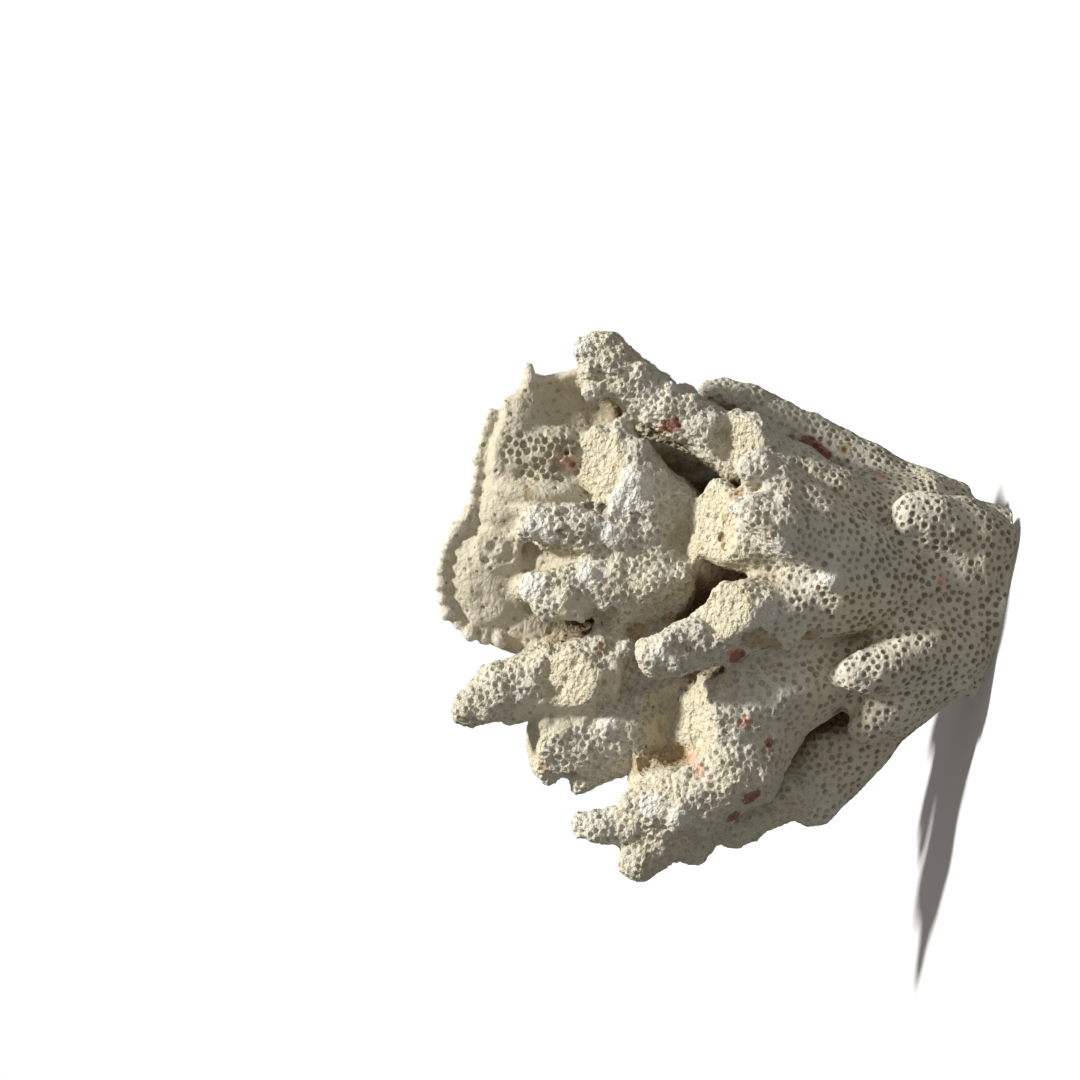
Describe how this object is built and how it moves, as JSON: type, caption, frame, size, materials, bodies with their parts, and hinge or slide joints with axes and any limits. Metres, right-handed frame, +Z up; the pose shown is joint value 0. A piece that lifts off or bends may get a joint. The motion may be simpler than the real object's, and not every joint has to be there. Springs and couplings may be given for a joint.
{
  "type": "branching coral",
  "caption": "Dry, bleached branching coral with thick porous fingers, standing on the flat cut at its foot.",
  "frame": {"origin": "on the flat cut at the foot of the trunk, near its middle", "axes": "+Z up, away from the cut, along which the fingers grow; +X across the fan towards the long top finger; -Y towards the side with the front fork"},
  "size_m": [0.1034, 0.066, 0.1105],
  "materials": {
    "coral_white": "dry, matt, bleached coral skeleton, warm white, with close round pores and brown in the hollows",
    "crust_cream": "smoother, slightly waxy cream crust over the finger ends, with few pores and a beaded edge"
  },
  "bodies": {
    "root": {"base": "coral_white", "front_fork": "coral_white", "middle_branch": "coral_white", "top_branch": "coral_white", "left_branch": "coral_white", "short_branch": "coral_white", "broad_branch": "coral_white", "curled_branch": "coral_white", "low_branch": "coral_white", "top_back_branch": "coral_white", "low_back_branch": "coral_white", "middle_back_branch": "coral_white", "upper_back_branch": "coral_white", "lower_back_branch": "coral_white", "inner_branch": "coral_white", "crust": "crust_cream"}
  },
  "joints": []
}
